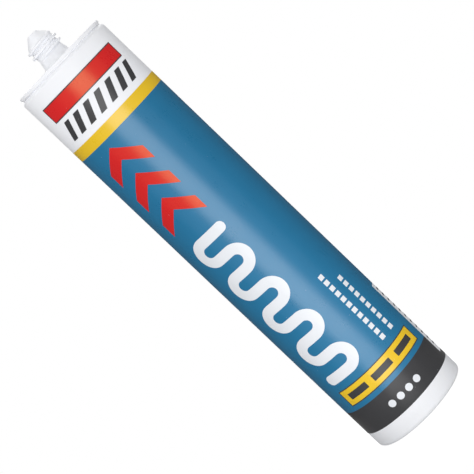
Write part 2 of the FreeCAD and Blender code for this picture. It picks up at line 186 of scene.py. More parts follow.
# The panel round the side
PANEL_LEFT = 29.9
PANEL_WIDTH = 42.0
PANEL_LOW = 12.0
PANEL_HEIGHT = 41.5
ROW_PITCH = 3.4
ROW_HEIGHT = 1.1
ROW_MARGIN = 2.6
ROW_SHARES = (1.0, 0.88, 0.96, 0.62, 1.0, 0.8)

# Left, right, low and high of the box, the bar and the panel
BOX = (-BOX_HALF, BOX_HALF, BOX_LOW, BOX_LOW + BOX_HEIGHT)
BAR = (-BAR_HALF, BAR_HALF, BAR_LOW, BAR_LOW + BAR_HEIGHT)
PANEL = (PANEL_LEFT, PANEL_LEFT + PANEL_WIDTH, PANEL_LOW, PANEL_LOW + PANEL_HEIGHT)

# How finely shapes are cut, what counts as one place, and which edges are sharp
ROUND_STEPS = 256
ARC_STEP = math.radians(11)
ARC_SUPPORT = 0.2
THREAD_ROW = 0.08
FILM_STEP = 2 * HALF_ROUND / ROUND_STEPS
FIELD_ROW = 20.0
TURN_STEPS = 16
BEAD_SPACING = 0.3
BEAD_CUTS = 9
DOT_STEPS = 32
EPSILON = 0.001
FILM_MERGE = 0.002
SHARP_ANGLE = math.radians(35)

# Moulded polythene: each pattern's scale for a metre, its draw up the tube, and its shares
GRAIN_SCALE = 2600.0
WAVE_SCALE = 55.0
LINE_SCALE = 900.0
LINE_DRAW = 0.012
SCUFF_SCALE = 1500.0
SCUFF_DRAW = 0.05
SCUFF_STEP = (0.66, 0.1)
PATCH_SCALE = 35.0
PATCH_STEP = (0.5, 0.15)
GRAIN_RELIEF = 0.35
WAVE_RELIEF = 2.0
SCUFF_RELIEF = 0.4
WAVE_TONE = 0.6
LINE_TONE = 0.5
MOULD_BUMP = 0.6
GLOW_RADIUS = (1.0, 0.95, 0.9)
GLOW_SCALE = 1.2

# Printed ink: the same for its patterns, then the overlap, the pinholes and the gloss
MOTTLE_SCALE = 90.0
FLECK_SCALE = 1900.0
STREAK_SCALE = 700.0
STREAK_DRAW = 0.015
DENSITY_SHARES = (0.5, 0.3, 0.2)
FLECK_RELIEF = 0.4
STREAK_RELIEF = 0.6
OVERLAP_HALF = 1.6
OVERLAP_EDGE = 0.15
PINHOLE_SCALE = 420.0
PINHOLE_EDGE = 0.02
PINHOLE_CHOICE = 0.72
INK_ROUGHNESS = 0.3
INK_ROUGHNESS_SPREAD = 0.25
INK_BUMP = 0.5
INK_RELIEF = 0.004
WHITE, WARM = (1.0, 1.0, 1.0, 1.0), (1.0, 0.95, 0.45, 1.0)

# Name, slot, lowest and highest tone, roughness, draw lines, relief, glow and gloss
PLASTICS = (
    ("White Polythene", "barrel_plastic", (0.985, 1.01), 0.5, 0.5, 0.01, 0.12, 0.2),
    ("Natural Polythene", "piston_plastic", (0.96, 1.02), 0.42, 0.15, 0.01, 0.25, 0.45),
    ("Silicone Paste", "paste", (0.97, 1.02), 0.25, 0.0, 0.03, 0.2, 0.5),
)

# Name, slot, depth of colour, mottle, pinholes, overlap, gloss, its tint and what lies under the ink
INKS = (
    ("Blue Ink", "ink_blue", 1.0, 0.16, 0.035, 0.16, 0.3, WHITE, "barrel_plastic"),
    ("Yellow Ink", "ink_yellow", 0.96, 0.1, 0.04, 0.1, 0.3, WHITE, "barrel_plastic"),
    ("Red Ink", "ink_red", 0.94, 0.12, 0.04, 0.1, 0.3, WARM, "barrel_plastic"),
    ("Dark Ink", "ink_dark", 0.95, 0.16, 0.035, 0.1, 0.18, WHITE, "barrel_plastic"),
    ("White Ink", "ink_white", 0.85, 0.04, 0.04, 0.0, 0.15, WHITE, "ink_blue"),
)

# Camera: picture and focus in pixels, place and sensor in millimetres, angles in degrees
PICTURE = 474
CAMERA_FOCUS = 1977.4
CAMERA_PLACE = (-1.871, -842.7, 210.3)
CAMERA_DOWN = 6.837
CAMERA_ROLL = -46.32
SENSOR_WIDTH = 36.0

# Reach of the camera, floor, cards and lamps, with sizes in metres and turns in degrees
CLIP_NEAR, CLIP_FAR = 0.01, 20.0
FLOOR_RADIUS = 0.12
FLOOR_FADE = 0.035
FLOOR_TONE = (0.75, 0.75, 0.75, 1.0)
FLOOR_LIFT = 0.6
FLOOR_STEPS = 96
FLAG_RADIUS = 0.9
FLAG_FROM, FLAG_TO = 60, 172
FLAG_STEPS = 24
FLAG_HEIGHTS = (-0.6, 1.2)
FLAG_TONE = 0.1
FOOT_CARD_RADIUS = 0.09
FOOT_CARD_TONE = 0.3
ROOM_LIGHT = 0.42

# Name, place, width, height, radiance, and whether it lights all, the gloss or the body
SOFTBOXES = (
    ("key", (0.0, -1.35, 0.1), 1.3, 0.9, 2.8, "all"),
    ("sheen", (0.0, -1.36, 0.0), 1.0, 0.9, 3.5, "gloss"),
    ("foot_fill", (0.0, -0.2, 0.035), 0.12, 0.06, 4.4, "matte"),
    ("left_fill", (-0.13, -0.05, 0.33), 0.07, 0.07, 7.6, "matte"),
    ("right_fill", (0.14, -0.05, 0.33), 0.07, 0.07, 4.6, "matte"),
    ("back_fill", (0.3, 1.4, 0.8), 0.9, 0.9, 4.4, "all"),
    ("back_sheen", (0.0, 1.36, 0.1), 0.36, 0.9, 4.5, "gloss"),
)

# Kinds of sockets, by the value that they start with where they have one
GEOMETRY, MATERIAL = "NodeSocketGeometry", "NodeSocketMaterial"
KINDS = {float: "NodeSocketFloat", int: "NodeSocketInt", tuple: "NodeSocketColor"}

# The Mix node's sockets for colours
MIX_ONE, MIX_OTHER, MIX_RESULT = 6, 7, 2


def add(tree, kind, inputs=None, **settings):
    """A new node with its settings, and its inputs by name or number, as values or links."""
    made = tree.nodes.new(kind)
    for name, value in settings.items():
        setattr(made, name, value)
    for name, value in (inputs or {}).items():
        if isinstance(value, bpy.types.NodeSocket):
            tree.links.new(value, made.inputs[name])
        else:
            made.inputs[name].default_value = value
    return made


def flow(tree, kind, inputs=None, **settings):
    """The first output of a new node."""
    return add(tree, kind, inputs, **settings).outputs[0]


def maths(operation, *values):
    """The result of a Math node, in the tree that its linked values come from."""
    tree = next(value.id_data for value in values if isinstance(value, bpy.types.NodeSocket))
    return flow(tree, "ShaderNodeMath", dict(enumerate(values)), operation=operation)


def plus(one, other):
    """The sum of two values in a tree."""
    return maths("ADD", one, other)


def minus(one, other):
    """One value in a tree less another."""
    return maths("SUBTRACT", one, other)


def times(one, other):
    """The product of two values in a tree."""
    return maths("MULTIPLY", one, other)


def over(one, other):
    """One value in a tree divided by another."""
    return maths("DIVIDE", one, other)


def smooth_step(value, start, width):
    """A soft step from 0 to 1 as a value climbs over a width from a start."""
    climbed = over(minus(value, start), width)
    climbed = maths("MINIMUM", maths("MAXIMUM", climbed, 0.0), 1.0)
    return times(times(climbed, climbed), minus(3.0, times(climbed, 2.0)))


def node_group(kind, name, inputs, outputs):
    """A node group with named sockets, each given with its start value or its kind."""
    tree = bpy.data.node_groups.new(name, kind)
    for in_out, wanted in (("INPUT", inputs), ("OUTPUT", outputs)):
        for label, start in wanted.items():
            sort = KINDS.get(type(start), start)
            made = tree.interface.new_socket(name=label, in_out=in_out, socket_type=sort)
            if sort is not start:
                made.default_value = start
    return tree, add(tree, "NodeGroupInput").outputs


def geometry_tree(name, wanted):
    """A Geometry Nodes tree with a mesh in and out, a material and other named inputs."""
    inputs = {"Mesh": GEOMETRY, "Material": MATERIAL, **wanted}
    return node_group("GeometryNodeTree", name, inputs, {"Mesh": GEOMETRY})


def end_tree(tree, geometry, material):
    """Ends a tree in Realize Instances and Set Material."""
    plain = flow(tree, "GeometryNodeRealizeInstances", {"Geometry": geometry})
    done = flow(tree, "GeometryNodeSetMaterial", {"Geometry": plain, "Material": material})
    add(tree, "NodeGroupOutput", {"Mesh": done})
    return tree


def end_in_copies(tree, given, places, turns):
    """Ends a tree in copies of its mesh, with the inputs of their places and of their turns."""
    inputs = {"Points": flow(tree, "GeometryNodePoints", places), "Instance": given["Mesh"], **turns}
    return end_tree(tree, flow(tree, "GeometryNodeInstanceOnPoints", inputs), given["Material"])


def repeat_tree():
    """Copies of a flat mark in columns and rows."""
    wanted = {"Columns": 1, "Rows": 1, "Column Pitch": 0.01, "Row Pitch": 0.01}
    tree, given = geometry_tree("Rows of Marks", wanted)
    index = flow(tree, "GeometryNodeInputIndex")
    row = maths("FLOOR", over(index, given["Columns"]))
    column = minus(index, times(row, given["Columns"]))
    inputs = {"X": times(column, given["Column Pitch"]), "Z": times(row, given["Row Pitch"])}
    place = flow(tree, "ShaderNodeCombineXYZ", inputs)
    count = times(given["Columns"], given["Rows"])
    return end_in_copies(tree, given, {"Count": count, "Position": place}, {})


def ribs_tree(sizes):
    """Copies of a rib round the Z axis."""
    tree, given = geometry_tree("Ribs Round the Axis", sizes)
    share = over(plus(flow(tree, "GeometryNodeInputIndex"), 0.5), given["Count"])
    turn = flow(tree, "ShaderNodeCombineXYZ", {"Z": times(share, math.tau)})
    rotation = flow(tree, "FunctionNodeEulerToRotation", {"Euler": turn})
    return end_in_copies(tree, given, {"Count": given["Count"]}, {"Rotation": rotation})


def bead_tree(sizes):
    """A flat bead of even width with round ends, along a path in the plane of the print."""
    tree, given = geometry_tree("Flat Bead", sizes)
    path = flow(tree, "GeometryNodeMeshToCurve", {"Mesh": given["Mesh"]})
    inputs = {"Curve": path, "Length": given["Point Spacing"]}
    path = flow(tree, "GeometryNodeResampleCurve", inputs, mode="LENGTH")
    inputs = {"Curve": path, "Normal": (0.0, -1.0, 0.0)}
    path = flow(tree, "GeometryNodeSetCurveNormal", inputs, mode="FREE")
    along = add(tree, "GeometryNodeSplineParameter").outputs["Length"]
    whole = add(tree, "GeometryNodeSplineLength").outputs["Length"]
    half = times(given["Width"], 0.5)
    nearest = maths("MINIMUM", along, minus(whole, along))
    outward = minus(1.0, maths("MINIMUM", over(nearest, half), 1.0))
    scale = maths("SQRT", minus(1.0, maths("POWER", outward, 2.0)))
    ends = [flow(tree, "ShaderNodeCombineXYZ", {"Y": times(half, side)}) for side in (-1, 1)]
    across = flow(tree, "GeometryNodeCurvePrimitiveLine", {"Start": ends[0], "End": ends[1]})
    inputs = {"Curve": across, "Count": BEAD_CUTS}
    across = flow(tree, "GeometryNodeResampleCurve", inputs, mode="COUNT")
    inputs = {"Curve": path, "Profile Curve": across, "Scale": scale}
    ribbon = flow(tree, "GeometryNodeCurveToMesh", inputs)
    return end_tree(tree, ribbon, given["Material"])


def merged(tree, geometry):
    """Geometry with the points of its films that meet made one."""
    inputs = {"Geometry": geometry, "Distance": FILM_MERGE * MM}
    return flow(tree, "GeometryNodeMergeByDistance", inputs)


def place_parts(tree):
    """The X, Y and Z of each point's place."""
    place = flow(tree, "GeometryNodeInputPosition")
    return add(tree, "ShaderNodeSeparateXYZ", {0: place}).outputs


def wrap_tree():
    """Wraps flat artwork on a round barrel and gives it a film's thickness."""
    wanted = {"Barrel Radius": 0.02, "Film Thickness": 0.00003}
    tree, given = geometry_tree("Wrapped Film", wanted)
    parts = place_parts(tree)
    angle = over(parts["X"], given["Barrel Radius"])
    radius = minus(given["Barrel Radius"], parts["Y"])
    across = times(radius, maths("SINE", angle))
    depth = times(times(radius, maths("COSINE", angle)), -1.0)
    place = flow(tree, "ShaderNodeCombineXYZ", {"X": across, "Y": depth, "Z": parts["Z"]})
    wrapped = flow(tree, "GeometryNodeSetPosition", {"Geometry": given["Mesh"], "Position": place})
    base = merged(tree, wrapped)
    inputs = {"Mesh": base, "Offset Scale": given["Film Thickness"], "Individual": False}
    top = flow(tree, "GeometryNodeExtrudeMesh", inputs, mode="FACES")
    both = add(tree, "GeometryNodeJoinGeometry")
    for side in (top, flow(tree, "GeometryNodeFlipFaces", {"Mesh": base})):
        tree.links.new(side, both.inputs[0])
    return end_tree(tree, merged(tree, both.outputs[0]), given["Material"])


def thread_tree(sizes):
    """Raises a wound ridge and the mould's parting lines on a neck by moving its points outward."""
    tree, given = geometry_tree("Wound Thread", sizes)
    parts = place_parts(tree)
    turn = over(maths("ARCTAN2", parts["Y"], parts["X"]), math.tau)
    climbed = minus(parts["Z"], given["Start Height"])
    phase = minus(over(climbed, given["Pitch"]), turn)
    nearest = maths("ROUND", phase)
    away = times(maths("ABSOLUTE", minus(phase, nearest)), given["Pitch"])
    flank = times(minus(given["Ridge Base"], given["Ridge Crest"]), 0.5)
    section = smooth_step(minus(times(given["Ridge Base"], 0.5), away), 0.0, flank)
    turns = plus(nearest, turn)
    begun = smooth_step(turns, given["First Turn"], given["Fade Turns"])
    ended = smooth_step(minus(given["Last Turn"], turns), 0.0, given["Fade Turns"])
    ridge = times(times(section, times(begun, ended)), given["Ridge Height"])
    from_parting = minus(given["Parting Width"], maths("ABSOLUTE", parts["Y"]))
    parting = smooth_step(from_parting, 0.0, given["Parting Width"])
    height = plus(ridge, times(parting, given["Parting Height"]))
    flat = flow(tree, "ShaderNodeCombineXYZ", {"X": parts["X"], "Y": parts["Y"]})
    length = add(tree, "ShaderNodeVectorMath", {0: flat}, operation="LENGTH").outputs["Value"]
    outside = maths("GREATER_THAN", length, given["Bore Radius"])
    above = maths("GREATER_THAN", parts["Z"], given["Zone Low"])
    height = times(height, times(outside, above))
    outward = flow(tree, "ShaderNodeVectorMath", {0: flat}, operation="NORMALIZE")
    offset = flow(tree, "ShaderNodeVectorMath", {0: outward, "Scale": height}, operation="SCALE")
    raised = flow(tree, "GeometryNodeSetPosition", {"Geometry": given["Mesh"], "Offset": offset})
    return end_tree(tree, raised, given["Material"])


# Meshes and objects


def plain_mesh(name, shape):
    """A new mesh of a shape, which is let go."""
    mesh = bpy.data.meshes.new(name)
    shape.to_mesh(mesh)
    shape.free()
    return mesh


def shown(name, data):
    """A new object of a mesh, a lamp or a camera, in the scene."""
    made = bpy.data.objects.new(name, data)
    SCENE.collection.objects.link(made)
    return made


def applied(name, carriers):
    """The plain mesh of the first carrier with its modifiers. The carriers and their meshes go."""
    seen = carriers[0].evaluated_get(bpy.context.evaluated_depsgraph_get())
    made = bpy.data.meshes.new_from_object(seen)
    meshes = [carrier.data for carrier in carriers]
    for carrier in carriers:
        bpy.data.objects.remove(carrier)
    for mesh in meshes:
        bpy.data.meshes.remove(mesh)
    made.name = name
    return made


def grown(name, mesh, tree, slot, sizes):
    """The plain mesh that a tree grows from a start mesh, a slot's finish and its sizes."""
    carrier = shown(name, mesh)
    step = carrier.modifiers.new(tree.name, "NODES")
    step.node_group = tree
    values = {"Material": FINISH[slot], **sizes}
    for item in tree.interface.items_tree:
        if item.in_out == "INPUT" and item.name in values:
            step[item.identifier] = values[item.name]
    return applied(name, [carrier])


def union(name, one, other):
    """One closed mesh of two that overlap."""
    carriers = [shown(name, mesh) for mesh in (one, other)]
    joint = carriers[0].modifiers.new("Union", "BOOLEAN")
    joint.operation = "UNION"
    joint.solver = "EXACT"
    joint.object = carriers[1]
    return applied(name, carriers)


# Turned pieces


def rounded(corners):
    """A closed section's points: corners are places across and up, some with a round's size."""
    places = [Vector(corner[:2]) for corner in corners]
    section = []
    for number, corner in enumerate(corners):
        place = places[number]
        size = corner[2] if len(corner) > 2 else 0
        if not size:
            section.append(tuple(place))
            continue
        back = places[number - 1] - place
        ahead = places[(number + 1) % len(places)] - place
        backward, forward = back.normalized(), ahead.normalized()
        half = back.angle(ahead) / 2
        reach = size / math.tan(half)
        centre = place + (backward + forward).normalized() * size / math.sin(half)
        spoke = place + backward * reach - centre
        sweep = math.pi - 2 * half
        if spoke.cross(place + forward * reach - centre) < 0:
            sweep = -sweep
        steps = max(2, round(abs(sweep) / ARC_STEP))
        support = min(ARC_SUPPORT, size)
        if back.length > reach + 2 * support:
            section.append(tuple(place + backward * (reach + support)))
        for step in range(steps + 1):
            section.append(tuple(centre + Matrix.Rotation(sweep * step / steps, 2) @ spoke))
        if ahead.length > reach + 2 * support:
            section.append(tuple(place + forward * (reach + support)))
    return section


def divided(section, low, high, inner, step):
    """A section with its runs between two heights, outside a radius, cut into short steps."""
    made = []
    for number, (across, up) in enumerate(section):
        made.append((across, up))
        next_across, next_up = section[(number + 1) % len(section)]
        bottom, top = max(low, min(up, next_up)), min(high, max(up, next_up))
        count = int((top - bottom) / step)
        if count < 1 or min(across, next_across) <= inner:
            continue
        heights = [bottom + (top - bottom) * cut / count for cut in range(count + 1)]
        if next_up < up:
            heights.reverse()
        for height in heights:
            if min(up, next_up) < height < max(up, next_up):
                share = (height - up) / (next_up - up)
                made.append((across + (next_across - across) * share, height))
    return made


def lathe(name, section, steps=ROUND_STEPS):
    """The closed mesh that a section, in millimetres, sweeps round the Z axis."""
    shape = bmesh.new()
    turns = [math.tau * number / steps for number in range(steps)]
    rings = []
    for across, up in section:
        if across < EPSILON:
            rings.append([shape.verts.new((0.0, 0.0, up * MM))])
            continue
        places = [(across * math.cos(turn), across * math.sin(turn), up) for turn in turns]
        rings.append([shape.verts.new(Vector(place) * MM) for place in places])
    for ring, above in zip(rings, rings[1:] + rings[:1]):
        if len(ring) == 1 and len(above) == 1:
            continue
        for turn in range(steps):
            near = [ring[turn % len(ring)], ring[(turn + 1) % len(ring)]]
            far = [above[(turn + 1) % len(above)], above[turn % len(above)]]
            shape.faces.new(list(dict.fromkeys(near + far)))
    return plain_mesh(name, shape)


def barrel_section():
    """Half of a cut through the barrel, from the mouth up the outside and down the inside."""
    groove_low = SHOULDER - GROOVE_TOP - GROOVE_WIDTH
    edge = groove_low - (BARREL_RADIUS - GROOVE_RADIUS)
    ceiling = SHOULDER - HEAD_THICKNESS
    neck_top = SHOULDER + NECK_HEIGHT
    cone_foot = neck_top - TIP_LENGTH
    gate_floor = neck_top - GATE_DEPTH
    corners = (
        (MOUTH_RADIUS, 0.0, LIP_ROUND),
        (BARREL_RADIUS, 0.0, FOOT_ROUND),
        (BARREL_RADIUS, edge, SHOULDER_ROUND),
        (GROOVE_RADIUS, groove_low, SMALL_ROUND),
        (GROOVE_RADIUS, SHOULDER - GROOVE_TOP, SMALL_ROUND),
        (RIM_RADIUS, SHOULDER - RIM_HEIGHT, SMALL_ROUND),
        (RIM_RADIUS, SHOULDER, RIM_ROUND),
        (NECK_BASE_RADIUS, SHOULDER, NECK_ROUND),
        (NECK_ROOT_RADIUS, SHOULDER + NECK_TAPER, TAPER_ROUND),
        (NECK_ROOT_RADIUS, cone_foot, LIP_ROUND),
        (TIP_RADIUS, neck_top, TIP_ROUND),
        (GATE_RADIUS, neck_top, SMALL_ROUND),
        (GATE_RADIUS - GATE_SLOPE, gate_floor),
        (STUB_RADIUS, gate_floor),
        (STUB_RADIUS, gate_floor + STUB_HEIGHT),
        (0.0, gate_floor + STUB_HEIGHT),
        (0.0, neck_top - TIP_WALL),
        (TIP_BORE_RADIUS, neck_top - TIP_WALL, SMALL_ROUND),
        (NECK_BORE_RADIUS, cone_foot - TIP_BORE_DROP, LIP_ROUND),
        (NECK_BORE_RADIUS, ceiling, LIP_ROUND),
        (BORE_RADIUS - HEAD_CHAMFER, ceiling, LIP_ROUND),
        (BORE_RADIUS, ceiling - HEAD_CHAMFER, LIP_ROUND),
        (BORE_RADIUS, LIP_HEIGHT + BORE_RADIUS - MOUTH_RADIUS, LIP_ROUND),
        (MOUTH_RADIUS, LIP_HEIGHT, SMALL_ROUND),
    )
    return rounded(corners)


def make_barrel():
    """Tube, head, neck and tip in one, with the thread raised on the neck."""
    start = SHOULDER + NECK_TAPER + THREAD_LEAD
    low = start - THREAD_PITCH
    high = SHOULDER + NECK_HEIGHT - TIP_LENGTH + THREAD_PITCH / 2
    section = divided(barrel_section(), low, high, NECK_BORE_RADIUS, THREAD_ROW)
    sizes = {
        "Start Height": start * MM,
        "Pitch": THREAD_PITCH * MM,
        "First Turn": THREAD_FIRST_TURN,
        "Last Turn": THREAD_LAST_TURN,
        "Fade Turns": THREAD_FADE,
        "Ridge Base": THREAD_BASE * MM,
        "Ridge Crest": THREAD_CREST * MM,
        "Ridge Height": THREAD_DEPTH * MM,
        "Bore Radius": NECK_BORE_RADIUS * MM,
        "Zone Low": low * MM,
        "Parting Height": PARTING_HEIGHT * MM,
        "Parting Width": PARTING_WIDTH * MM,
    }
    return grown("cartridge_barrel", lathe("barrel", section), thread_tree(sizes), "barrel_plastic", sizes)


def make_rib(landing, inside, skirt):
    """A rib in the corner of the piston's cup, with its free edges rounded."""
    outer = skirt + PISTON_WALL / 2
    flank = (
        (skirt - RIB_REACH, landing),
        (outer, landing),
        (outer, inside - PISTON_CORNER),
        (skirt - PISTON_CORNER, inside + PISTON_FACE / 2),
        (skirt - RIB_REACH, inside + PISTON_FACE / 2),
    )
    rib = bmesh.new()
    near, far = (
        [rib.verts.new(Vector((across, side * RIB_THICKNESS / 2, up)) * MM) for across, up in flank]
        for side in (-1, 1)
    )
    rib.faces.new(near)
    rib.faces.new(far[::-1])
    for number in range(len(flank)):
        after = (number + 1) % len(flank)
        rib.faces.new((near[after], near[number], far[number], far[after]))
    bmesh.ops.recalc_face_normals(rib, faces=rib.faces)
    limit = (landing + EPSILON) * MM
    free = [edge for edge in rib.edges if max(vert.co.z for vert in edge.verts) < limit]
    bmesh.ops.bevel(rib, geom=free, offset=SMALL_ROUND * MM, segments=2, affect="EDGES")
    return plain_mesh("rib", rib)


def make_piston():
    """A cup with two sealing rings, a stiffening ring and ribs in the corner of its inside."""
    waist = SEAL_RADIUS - SEAL_RELIEF
    skirt = waist - PISTON_WALL
    front = PISTON_RECESS + PISTON_LENGTH
    shoulder = front - HEAD_CHAMFER
    inside = front - PISTON_FACE
    landing = inside - RIB_HEIGHT
    corners = (
        (skirt, PISTON_RECESS, SMALL_ROUND),
        (SEAL_RADIUS, PISTON_RECESS, LIP_ROUND),
        (SEAL_RADIUS, PISTON_RECESS + SEAL_HEIGHT, SMALL_ROUND),
        (waist, PISTON_RECESS + SEAL_HEIGHT + SEAL_RELIEF, LIP_ROUND),
        (waist, shoulder - SEAL_HEIGHT - SEAL_RELIEF, LIP_ROUND),
        (SEAL_RADIUS, shoulder - SEAL_HEIGHT, SMALL_ROUND),
        (SEAL_RADIUS, shoulder, LIP_ROUND),
        (SEAL_RADIUS - HEAD_CHAMFER, front, LIP_ROUND),
        (0.0, front),
        (0.0, inside),
        (RING_RADIUS - RING_WALL, inside, LIP_ROUND),
        (RING_RADIUS - RING_WALL, landing, LIP_ROUND),
        (RING_RADIUS, landing, LIP_ROUND),
        (RING_RADIUS, inside, LIP_ROUND),
        (skirt - PISTON_CORNER, inside, LIP_ROUND),
        (skirt, inside - PISTON_CORNER, LIP_ROUND),
    )
    cup = lathe("cup", rounded(corners))
    sizes = {"Count": RIB_COUNT}
    ribs = grown("ribs", make_rib(landing, inside, skirt), ribs_tree(sizes), "piston_plastic", sizes)
    return union("cartridge_piston", cup, ribs)


def make_fill():
    """The paste in the tube, between the piston's front and the head."""
    side = BORE_RADIUS - PASTE_GAP
    corners = (
        (0.0, PASTE_REAR),
        (side - HEAD_CHAMFER, PASTE_REAR, LIP_ROUND),
        (side, PASTE_REAR + HEAD_CHAMFER, LIP_ROUND),
        (side, PASTE_TOP - HEAD_CHAMFER, LIP_ROUND),
        (side - HEAD_CHAMFER, PASTE_TOP, LIP_ROUND),
        (0.0, PASTE_TOP),
    )
    return lathe("paste_fill", rounded(corners))


def make_neck_paste():
    """The paste in the neck's bore."""
    side = NECK_BORE_RADIUS - PASTE_GAP
    low = SHOULDER - HEAD_THICKNESS
    neck_top = SHOULDER + NECK_HEIGHT
    tip = neck_top - TIP_WALL - PASTE_GAP
    corners = (
        (0.0, low),
        (side, low, SMALL_ROUND),
        (side, neck_top - TIP_LENGTH - TIP_BORE_DROP - PASTE_GAP, LIP_ROUND),
        (TIP_BORE_RADIUS - PASTE_GAP, tip, SMALL_ROUND),
        (0.0, tip),
    )
    return lathe("paste_neck", rounded(corners), ROUND_STEPS // 4)


# Flat artwork, which the wrap tree lays round the barrel


def artwork(name, draw, *facts):
    """A flat mesh that draw fills."""
    shape = bmesh.new()
    draw(shape, *facts)
    loose = [vert for vert in shape.verts if not vert.link_faces]
    bmesh.ops.delete(shape, geom=loose, context="VERTS")
    bmesh.ops.remove_doubles(shape, verts=shape.verts, dist=EPSILON * MM)
    return plain_mesh(name, shape)


def patches(shape, level, rows, keep=lambda across, up: True):
    """Adds the flat cells between rows of places, but for those whose middle isn't kept."""
    verts = [
        [shape.verts.new(Vector((across, -level, up)) * MM) for across, up in row] for row in rows
    ]
    for row in range(len(rows) - 1):
        for column in range(len(rows[row]) - 1):
            middle = (Vector(rows[row][column]) + Vector(rows[row + 1][column + 1])) / 2
            if keep(*middle):
                low, high = (line[column : column + 2] for line in verts[row : row + 2])
                shape.faces.new(low + high[::-1])


def breaks(marks, step):
    """Places from the first mark to the last, at every mark and never further apart than step."""
    marks = sorted(set(marks))
    places = [marks[0]]
    for start, end in zip(marks, marks[1:]):
        count = max(1, math.ceil((end - start) / step - EPSILON))
        places += [start + (end - start) * number / count for number in range(1, count + 1)]
    return places


def field(shape, level, left, right, low, high, windows=()):
    """Adds a plain field less its windows, each given as left, right, low and high."""
    across, up = [left, right], [low, high]
    for one, other, bottom, top in windows:
        across += [place for place in (one, other) if left < place < right]
        up += [height for height in (bottom, top) if low < height < high]

    def keep(place, height):
        return not any(
            one < place < other and bottom < height < top for one, other, bottom, top in windows
        )

    across = breaks(across, FILM_STEP)
    rows = [[(place, height) for place in across] for height in breaks(up, FIELD_ROW)]
    patches(shape, level, rows, keep)


def slab(shape, level, *edges):
    """Adds a four-sided patch between a low and a high edge, each given from left to right."""
    edges = [[Vector(end) for end in edge] for edge in edges]
    count = max(1, math.ceil((edges[0][1] - edges[0][0]).length / FILM_STEP))
    shares = [number / count for number in range(count + 1)]
    patches(shape, level, [[left.lerp(right, share) for share in shares] for left, right in edges])


def slanted(shape, level, low, high):
    """Adds a leaning stripe between two edges, cut across so that it follows the barrel."""
    sides = [(Vector(foot), Vector(head)) for foot, head in zip(low, high)]
    count = max(1, math.ceil(abs(high[0][0] - low[0][0]) / FILM_STEP))
    edges = [[foot.lerp(head, number / count) for foot, head in sides] for number in range(count + 1)]
    for pair in zip(edges, edges[1:]):
        slab(shape, level, *pair)


def rows_of(mesh, slot, columns, rows, column_pitch, row_pitch):
    """A mark repeated in columns and rows."""
    sizes = {
        "Columns": columns,
        "Rows": rows,
        "Column Pitch": column_pitch * MM,
        "Row Pitch": row_pitch * MM,
    }
    return grown(mesh.name, mesh, REPEAT, slot, sizes)


def printed(slot, meshes):
    """A colour's films, wrapped on the barrel."""
    shape = bmesh.new()
    for mesh in meshes:
        shape.from_mesh(mesh)
    sizes = {"Barrel Radius": BARREL_RADIUS * MM, "Film Thickness": FILM * MM}
    return grown(slot, plain_mesh(slot, shape), WRAP, slot, sizes)


def blue_print():
    """The long field round the barrel, with windows for the box and the side panel."""
    facts = (FIRST, -HALF_ROUND, HALF_ROUND, DARK_TOP, BAND_LOW, (BOX, PANEL))
    return printed("ink_blue", [artwork("blue_field", field, *facts)])


def yellow_print():
    """The band above the field, and the box."""

    def draw(shape):
        field(shape, FIRST, -HALF_ROUND, HALF_ROUND, BAND_LOW, BAND_TOP)
        field(shape, FIRST, *BOX)

    return printed("ink_yellow", [artwork("yellow_fields", draw)])


def red_print():
    """The bar near the head, and arrowheads that point to the nozzle."""
    low = BAND_LOW - CHEVRON_GAP - CHEVRON_RISE - CHEVRON_STROKE - CHEVRON_PITCH * (CHEVRON_COUNT - 1)
    peak = (MOTIF_LEFT + MOTIF_WIDTH / 2, low + CHEVRON_RISE)
    foot = ((MOTIF_LEFT, low), peak, (MOTIF_LEFT + MOTIF_WIDTH, low))

    def draw(shape):
        for edge in zip(foot, foot[1:]):
            slab(shape, SECOND, edge, [(across, up + CHEVRON_STROKE) for across, up in edge])

    arrowhead = artwork("arrowhead", draw)
    arrows = rows_of(arrowhead, "ink_red", 1, CHEVRON_COUNT, 0.0, CHEVRON_PITCH)
    return printed("ink_red", [artwork("red_bar", field, FIRST, *BAR), arrows])


def frame_lines(shape, left, right, low, high):
    """Adds the lines of a frame just inside a box."""
    inside = (left + LINE, right - LINE, low + LINE, high - LINE)
    field(shape, SECOND, left, right, low, high, (inside,))


def panel_rows(shape):
    """Adds short bars in two columns on the side panel."""
    rows = int((PANEL_HEIGHT - 2 * ROW_MARGIN) / ROW_PITCH) + 1
    column = (PANEL_WIDTH - 3 * ROW_MARGIN) / 2
    top = PANEL_LOW + PANEL_HEIGHT - ROW_MARGIN - ROW_HEIGHT
    for row in range(rows):
        for side in (0, 1):
            left = PANEL_LEFT + ROW_MARGIN + (column + ROW_MARGIN) * side
            width = column * ROW_SHARES[(row + 2 * side) % len(ROW_SHARES)]
            low = top - ROW_PITCH * row
            field(shape, FIRST, left, left + width, low, low + ROW_HEIGHT)


